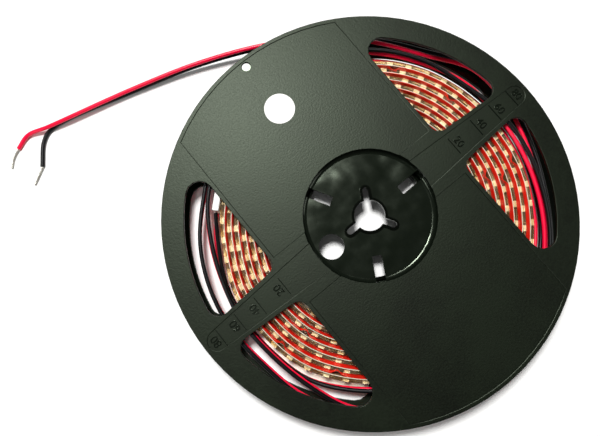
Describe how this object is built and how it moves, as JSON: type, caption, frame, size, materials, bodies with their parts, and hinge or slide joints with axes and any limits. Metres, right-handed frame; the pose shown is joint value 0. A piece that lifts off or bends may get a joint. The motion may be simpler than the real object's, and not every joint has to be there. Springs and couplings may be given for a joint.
{
  "type": "led strip light reel",
  "caption": "Plastic reel with windowed flanges that holds a wound roll of LED strip light, its red and black lead coming out of the rim.",
  "frame": {"origin": "centre of the reel at the rear flange's outer face, on the table", "axes": "+Z along the reel's axis out of the front flange, +X along the narrow spokes, +Y along the wide label bands"},
  "size_m": [0.1989, 0.2161, 0.0124],
  "materials": {
    "moulded_reel": "matte moulded",
    "strip": "flexible board with white LEDs under a clear coat, and red liner",
    "sleeve": "shrunk sleeve",
    "red_insulation": "smooth",
    "black_insulation": "smooth",
    "tinned_copper": "tinned strands",
    "paper": "uncoated paper"
  },
  "bodies": {
    "root": {"front_flange": "moulded_reel", "rear_flange": "moulded_reel", "led_strip": "strip", "joint_sleeve": "sleeve", "lead_red": "red_insulation", "lead_black": "black_insulation", "tip_red": "tinned_copper", "tip_black": "tinned_copper", "round_label": "paper"}
  },
  "joints": []
}
